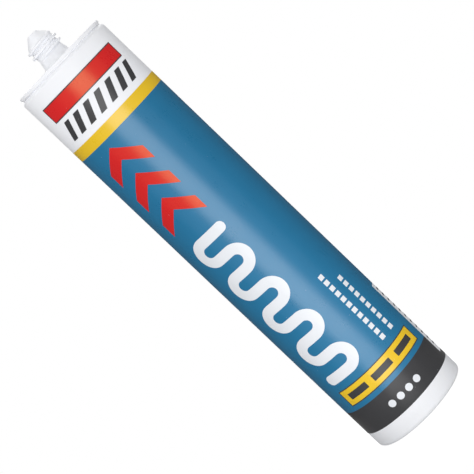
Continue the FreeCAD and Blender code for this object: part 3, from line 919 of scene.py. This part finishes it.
def dark_print():
    """The band at the foot, frames, the hatched row, and bars on the box and the panel."""

    def draw(shape):
        field(shape, FIRST, -HALF_ROUND, HALF_ROUND, FOOT_BARE, DARK_TOP, (PANEL,))
        frame_lines(shape, *BOX)
        frame_lines(shape, *BAR)
        panel_rows(shape)

    plain = artwork("dark_fields", draw)
    left = -(MARK_PITCH * (MARK_COUNT - 1) + MARK_WIDTH) / 2
    low = BOX_LOW + (BOX_HEIGHT - MARK_HEIGHT) / 2
    mark = artwork("box_mark", field, SECOND, left, left + MARK_WIDTH, low, low + MARK_HEIGHT)
    marks = rows_of(mark, "ink_dark", MARK_COUNT, 1, MARK_PITCH, 0.0)
    room = 2 * BAR_HALF - HATCH_STRIPE - HATCH_SLANT
    count = 1 + round(room / HATCH_PITCH)
    foot = [(-BAR_HALF, HATCH_LOW), (-BAR_HALF + HATCH_STRIPE, HATCH_LOW)]
    head = [(across + HATCH_SLANT, up + HATCH_HEIGHT) for across, up in foot]
    stripe = artwork("hatch_stripe", slanted, FIRST, foot, head)
    hatch = rows_of(stripe, "ink_dark", count, 1, room / (count - 1), 0.0)
    return printed("ink_dark", [plain, marks, hatch])


def bead_path(low, high):
    """The middle line of the winding bead as a mesh of edges: level runs and round turns."""
    half, right = BEAD_STROKE / 2, MOTIF_LEFT + MOTIF_WIDTH
    runs = 1 + round((high - low - BEAD_STROKE) / BEAD_PITCH)
    step = (high - low - BEAD_STROKE) / (runs - 1)
    turn = step / 2
    near, far = MOTIF_LEFT + half + turn, right - half - turn
    places = [(MOTIF_LEFT, low + half)]
    for run in range(runs - 1):
        end, side = (near, -1) if run % 2 else (far, 1)
        middle = low + half + run * step + turn
        for cut in range(TURN_STEPS + 1):
            angle = math.pi * cut / TURN_STEPS
            places.append((end + side * turn * math.sin(angle), middle - turn * math.cos(angle)))
    places.append((right, low + half + (runs - 1) * step))
    mesh = bpy.data.meshes.new("bead")
    points = [Vector((across, -SECOND, up)) * MM for across, up in places]
    mesh.from_pydata(points, [(number, number + 1) for number in range(len(points) - 1)], [])
    return mesh


def dot(shape, across, up):
    """Adds a round dot."""
    middle = Vector((across, -SECOND, up))
    centre = shape.verts.new(middle * MM)
    turns = [math.tau * number / DOT_STEPS for number in range(DOT_STEPS)]
    spokes = [Vector((math.cos(turn), 0.0, math.sin(turn))) for turn in turns]
    inner, outer = (
        [shape.verts.new((middle + reach * spoke) * MM) for spoke in spokes]
        for reach in (DOT_RADIUS / 2, DOT_RADIUS)
    )
    for number in range(DOT_STEPS):
        after = (number + 1) % DOT_STEPS
        shape.faces.new((centre, inner[number], inner[after]))
        shape.faces.new((inner[number], outer[number], outer[after], inner[after]))


def white_print():
    """The winding bead, two columns of dashes beside it, and a row of dots on the foot band."""
    low = BOX_LOW + BOX_HEIGHT + BEAD_GAP
    arrows = CHEVRON_PITCH * (CHEVRON_COUNT - 1) + CHEVRON_RISE + CHEVRON_STROKE
    high = BAND_LOW - CHEVRON_GAP - arrows - BEAD_CLEARANCE
    sizes = {"Width": BEAD_STROKE * MM, "Point Spacing": BEAD_SPACING * MM}
    marks = [grown("bead", bead_path(low, high), bead_tree(sizes), "ink_white", sizes)]
    for column, count in enumerate(DASH_COUNTS):
        left = DASH_LEFT + DASH_COLUMN * column
        facts = (SECOND, left, left + DASH_WIDTH, low, low + DASH_LENGTH)
        dash = artwork(f"dash_{column}", field, *facts)
        marks.append(rows_of(dash, "ink_white", 1, count, 0.0, DASH_PITCH))
    spot = artwork("dot", dot, -DOT_PITCH * (DOT_COUNT - 1) / 2, FOOT_BARE + DOT_HEIGHT)
    marks.append(rows_of(spot, "ink_white", DOT_COUNT, 1, DOT_PITCH, 0.0))
    return printed("ink_white", marks)


# Finishes


def noise(place, scale, detail=2.0, roughness=0.5):
    """A noise texture's value at a place."""
    inputs = {"Vector": place, "Scale": scale, "Detail": detail, "Roughness": roughness}
    return flow(place.id_data, "ShaderNodeTexNoise", inputs)


def blend_colours(tree, share, one, other, kind="MIX"):
    """The colour between two colours."""
    inputs = {0: share, MIX_ONE: one, MIX_OTHER: other}
    made = add(tree, "ShaderNodeMix", inputs, data_type="RGBA", blend_type=kind)
    return made.outputs[MIX_RESULT]


def drawn_out(place, share):
    """A place with its height scaled, so that a texture on it is drawn out up the tube."""
    inputs = {0: place, 1: (1.0, 1.0, share)}
    return flow(place.id_data, "ShaderNodeVectorMath", inputs, operation="MULTIPLY")


def moulded_group():
    """Moulded polythene: fine grain, long draw lines up the tube, slow waves and thin scuffs."""
    inputs = {"Grain Size": GRAIN_SCALE, "Line Share": 0.5, "Roughness": 0.4, "Roughness Spread": 0.1}
    outputs = {"Tone": 0.0, "Roughness": 0.0, "Height": 0.0}
    tree, given = node_group("ShaderNodeTree", "Moulded Surface", inputs, outputs)
    place = add(tree, "ShaderNodeTexCoord").outputs["Object"]
    grain = noise(place, given["Grain Size"], detail=3.0)
    waves = noise(place, WAVE_SCALE, detail=1.0)
    lines = noise(drawn_out(place, LINE_DRAW), LINE_SCALE, detail=3.0, roughness=0.6)
    lines = times(lines, given["Line Share"])
    scuffs = smooth_step(noise(drawn_out(place, SCUFF_DRAW), SCUFF_SCALE, detail=1.0), *SCUFF_STEP)
    scuffs = times(scuffs, smooth_step(noise(place, PATCH_SCALE, detail=1.0), *PATCH_STEP))
    height = plus(plus(times(grain, GRAIN_RELIEF), lines), times(waves, WAVE_RELIEF))
    spread = times(minus(plus(grain, scuffs), 0.5), given["Roughness Spread"])
    outputs = {
        "Tone": plus(times(waves, WAVE_TONE), times(lines, LINE_TONE)),
        "Roughness": plus(given["Roughness"], spread),
        "Height": minus(height, times(scuffs, SCUFF_RELIEF)),
    }
    add(tree, "NodeGroupOutput", outputs)
    return tree


def ink_group():
    """Printed ink: slow mottle, fine flecks, pinholes and a darker strip where a wrap overlaps."""
    inputs = {
        "Ink": (0.5, 0.5, 0.5, 1.0),
        "Under": (0.8, 0.8, 0.8, 1.0),
        "Mottle": 0.1,
        "Pinholes": 0.02,
        "Overlap": 0.2,
        "Roughness": 0.35,
    }
    outputs = {"Colour": WHITE, "Roughness": 0.0, "Height": 0.0}
    tree, given = node_group("ShaderNodeTree", "Ink Film", inputs, outputs)
    place = add(tree, "ShaderNodeTexCoord").outputs["Object"]
    parts = add(tree, "ShaderNodeSeparateXYZ", {0: place}).outputs
    mottle = noise(place, MOTTLE_SCALE)
    flecks = noise(place, FLECK_SCALE)
    streaks = noise(drawn_out(place, STREAK_DRAW), STREAK_SCALE)
    mottled, flecked, streaked = map(times, (mottle, flecks, streaks), DENSITY_SHARES)
    density = minus(plus(plus(mottled, flecked), streaked), 0.5)
    level = plus(1.0, times(density, given["Mottle"]))
    near_back = minus(OVERLAP_HALF * MM, maths("ABSOLUTE", parts["X"]))
    strip = smooth_step(near_back, 0.0, OVERLAP_EDGE * MM)
    strip = times(times(strip, maths("GREATER_THAN", parts["Y"], 0.0)), given["Overlap"])
    level = times(level, minus(1.0, strip))
    grey = flow(tree, "ShaderNodeCombineColor", {0: level, 1: level, 2: level})
    varied = blend_colours(tree, 1.0, given["Ink"], grey, "MULTIPLY")
    spots = add(tree, "ShaderNodeTexVoronoi", {"Vector": place, "Scale": PINHOLE_SCALE}).outputs
    hole = smooth_step(minus(given["Pinholes"], spots["Distance"]), 0.0, PINHOLE_EDGE)
    chosen = flow(tree, "ShaderNodeSeparateColor", {0: spots["Color"]})
    hole = times(hole, maths("GREATER_THAN", chosen, PINHOLE_CHOICE))
    relief = plus(times(flecks, FLECK_RELIEF), times(streaks, STREAK_RELIEF))
    outputs = {
        "Colour": blend_colours(tree, hole, varied, given["Under"]),
        "Roughness": plus(given["Roughness"], times(density, INK_ROUGHNESS_SPREAD)),
        "Height": minus(relief, hole),
    }
    add(tree, "NodeGroupOutput", outputs)
    return tree


def whole_colour(slot, factor=1.0):
    """A slot's colour from the record, darker or lighter by a factor."""
    return (*(min(1.0, part * factor) for part in COLOURS[slot]), 1.0)


def finish(name, group, inputs, bump, relief, gloss):
    """A material with a group's roughness and relief, the group's outputs, the shader's inputs."""
    made = bpy.data.materials.new(name)
    made.use_nodes = True
    tree = made.node_tree
    shader = tree.nodes["Principled BSDF"]
    surface = add(tree, "ShaderNodeGroup", inputs, node_tree=group).outputs
    tree.links.new(surface["Roughness"], shader.inputs["Roughness"])
    inputs = {"Height": surface["Height"], "Strength": bump, "Distance": relief * MM}
    tree.links.new(flow(tree, "ShaderNodeBump", inputs), shader.inputs["Normal"])
    shader.inputs["Specular IOR Level"].default_value = gloss
    return made, surface, shader.inputs


def plastic(name, slot, tones, roughness, lines, relief, glow, gloss):
    """Moulded polythene of a slot's colour."""
    inputs = {"Line Share": lines, "Roughness": roughness}
    made, surface, shader = finish(name, MOULDED, inputs, MOULD_BUMP, relief, gloss)
    low, high = (whole_colour(slot, factor) for factor in tones)
    colour = blend_colours(made.node_tree, surface["Tone"], low, high)
    made.node_tree.links.new(colour, shader["Base Color"])
    shader["Subsurface Weight"].default_value = glow
    shader["Subsurface Radius"].default_value = GLOW_RADIUS
    shader["Subsurface Scale"].default_value = GLOW_SCALE * MM
    return made


def ink(name, slot, depth, mottle, pinholes, overlap, gloss, tint, under):
    """Printed ink of a slot's colour, deeper by a factor, over what lies under it."""
    inputs = {
        "Ink": whole_colour(slot, depth),
        "Under": whole_colour(under),
        "Mottle": mottle,
        "Pinholes": pinholes,
        "Overlap": overlap,
        "Roughness": INK_ROUGHNESS,
    }
    made, surface, shader = finish(name, INK_FILM, inputs, INK_BUMP, INK_RELIEF, gloss)
    made.node_tree.links.new(surface["Colour"], shader["Base Color"])
    shader["Specular Tint"].default_value = tint
    return made


# Putting pieces in


def piece(mesh, body, slot, *nodes):
    """An object of a mesh: shaded, in its slot's finish, on its body, in place of its nodes."""
    mesh.materials.clear()
    mesh.materials.append(FINISH[slot])
    mesh.shade_smooth()
    mesh.set_sharp_from_angle(angle=SHARP_ANGLE)
    made = shown(mesh.name, mesh)
    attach(made, body)
    if nodes:
        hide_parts(*nodes)
    return made


WRAP = wrap_tree()
REPEAT = repeat_tree()
MOULDED = moulded_group()
INK_FILM = ink_group()
FINISH = {facts[1]: plastic(*facts) for facts in PLASTICS}
FINISH.update({facts[1]: ink(*facts) for facts in INKS})

piece(make_barrel(), "barrel", "barrel_plastic", "barrel")
piece(make_piston(), "piston", "piston_plastic", "piston")
fill = piece(make_fill(), "barrel", "paste", "sealant")
piece(make_neck_paste(), "barrel", "paste")
piece(blue_print(), "barrel", "ink_blue", "print_blue")
piece(yellow_print(), "barrel", "ink_yellow", "print_yellow")
piece(red_print(), "barrel", "ink_red", "print_red")
piece(dark_print(), "barrel", "ink_dark", "print_dark")
piece(white_print(), "barrel", "ink_white", "print_white")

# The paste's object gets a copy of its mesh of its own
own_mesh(fill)


# Floor, light and camera


def bare_tree(owner):
    """The emptied node tree of a material or a world."""
    owner.use_nodes = True
    owner.node_tree.nodes.clear()
    return owner.node_tree


def even_light(tree, strength):
    """White light of one strength from a surface."""
    return flow(tree, "ShaderNodeEmission", {"Color": WHITE, "Strength": strength})


def seen_directly(tree):
    """1 for rays from the camera, reflections and rays through glass, and 0 for others."""
    rays = add(tree, "ShaderNodeLightPath").outputs
    seen = maths("MAXIMUM", rays["Is Camera Ray"], rays["Is Glossy Ray"])
    return maths("MAXIMUM", seen, rays["Is Transmission Ray"])


def round_the_foot(name, reach):
    """A level ring from under the foot's edge out to a reach."""
    shape = bmesh.new()
    turns = [math.tau * number / FLOOR_STEPS for number in range(FLOOR_STEPS)]
    inner, outer = (
        [shape.verts.new((radius * math.cos(turn), radius * math.sin(turn), 0.0)) for turn in turns]
        for radius in ((BARREL_RADIUS - FOOT_ROUND / 2) * MM, reach)
    )
    for number in range(FLOOR_STEPS):
        after = (number + 1) % FLOOR_STEPS
        shape.faces.new((inner[number], outer[number], outer[after], inner[after]))
    return shown(name, plain_mesh(name, shape))


def make_floor():
    """A white floor that keeps the shadow near the piece and fades into the white around it.

    It is open under the mouth and clear from below, so that the piston can be looked at.
    """
    floor = round_the_foot("floor", FLOOR_RADIUS)
    made = bpy.data.materials.new("White Floor")
    tree = bare_tree(made)
    matte = flow(tree, "ShaderNodeBsdfDiffuse", {"Color": FLOOR_TONE})
    lit = flow(tree, "ShaderNodeAddShader", {0: matte, 1: even_light(tree, FLOOR_LIFT)})
    place = add(tree, "ShaderNodeTexCoord").outputs["Object"]
    away = add(tree, "ShaderNodeVectorMath", {0: place}, operation="LENGTH").outputs["Value"]
    faded = smooth_step(away, FLOOR_FADE, FLOOR_RADIUS - FLOOR_FADE)
    seen = flow(tree, "ShaderNodeMixShader", {0: faded, 1: lit, 2: even_light(tree, 1.0)})
    top = flow(tree, "ShaderNodeMixShader", {0: seen_directly(tree), 1: matte, 2: seen})
    below = add(tree, "ShaderNodeNewGeometry").outputs["Backfacing"]
    clear = flow(tree, "ShaderNodeBsdfTransparent")
    final = flow(tree, "ShaderNodeMixShader", {0: below, 1: top, 2: clear})
    add(tree, "ShaderNodeOutputMaterial", {"Surface": final})
    floor.data.materials.append(made)
    floor.visible_glossy = False


def grey_card(card, tone):
    """Makes an object a plain grey card that is seen only in gloss."""
    made = bpy.data.materials.new("Grey Card")
    tree = bare_tree(made)
    add(tree, "ShaderNodeOutputMaterial", {"Surface": even_light(tree, tone)})
    card.data.materials.append(made)
    for way in ("camera", "diffuse", "transmission", "shadow"):
        setattr(card, f"visible_{way}", False)


def make_cards():
    """Cards behind and beside the piece, which keep its edges deep, and one round its foot."""
    shape = bmesh.new()
    for side in (-1, 1):
        rows = []
        for number in range(FLAG_STEPS + 1):
            turn = math.radians(FLAG_FROM + (FLAG_TO - FLAG_FROM) * number / FLAG_STEPS)
            places = [(side * math.sin(turn), -math.cos(turn), up) for up in FLAG_HEIGHTS]
            rows.append([shape.verts.new(Vector(place) * FLAG_RADIUS) for place in places])
        for near, far in zip(rows, rows[1:]):
            shape.faces.new((near[0], far[0], far[1], near[1]))
    grey_card(shown("flags", plain_mesh("flags", shape)), FLAG_TONE)
    grey_card(round_the_foot("foot_card", FOOT_CARD_RADIUS), FOOT_CARD_TONE)


def make_world():
    """White where it is seen, and a plain level of light on the piece."""
    world = bpy.data.worlds.new("white_room")
    SCENE.world = world
    tree = bare_tree(world)
    strength = plus(times(seen_directly(tree), 1.0 - ROOM_LIGHT), ROOM_LIGHT)
    room = flow(tree, "ShaderNodeBackground", {"Color": WHITE, "Strength": strength})
    add(tree, "ShaderNodeOutputWorld", {"Surface": room})


def softbox(name, place, width, height, radiance, lights):
    """A rectangular lamp that faces the middle of the piece and lights all, its gloss or its body."""
    lamp = bpy.data.lights.new(name, "AREA")
    lamp.shape = "RECTANGLE"
    lamp.size, lamp.size_y = width, height
    lamp.energy = radiance * math.pi * width * height
    holder = shown(name, lamp)
    holder.location = place
    facing = Vector((0, 0, SHOULDER * MM / 2)) - Vector(place)
    holder.rotation_euler = facing.to_track_quat("-Z", "Y").to_euler()
    holder.visible_diffuse = holder.visible_transmission = lights != "gloss"
    holder.visible_glossy = lights != "matte"


def make_camera():
    """A long lens before the piece, rolled so that it lies across the picture."""
    lens = bpy.data.cameras.new("camera")
    lens.sensor_width = SENSOR_WIDTH
    lens.lens = CAMERA_FOCUS / PICTURE * SENSOR_WIDTH
    lens.clip_start, lens.clip_end = CLIP_NEAR, CLIP_FAR
    camera = shown("camera", lens)
    tilt = Matrix.Rotation(math.radians(90 - CAMERA_DOWN), 4, "X")
    roll = Matrix.Rotation(math.radians(CAMERA_ROLL), 4, "Z")
    camera.matrix_world = Matrix.Translation(Vector(CAMERA_PLACE) * MM) @ tilt @ roll
    SCENE.camera = camera


make_floor()
make_world()
make_cards()
for facts in SOFTBOXES:
    softbox(*facts)
make_camera()
SCENE.view_settings.view_transform = "Standard"
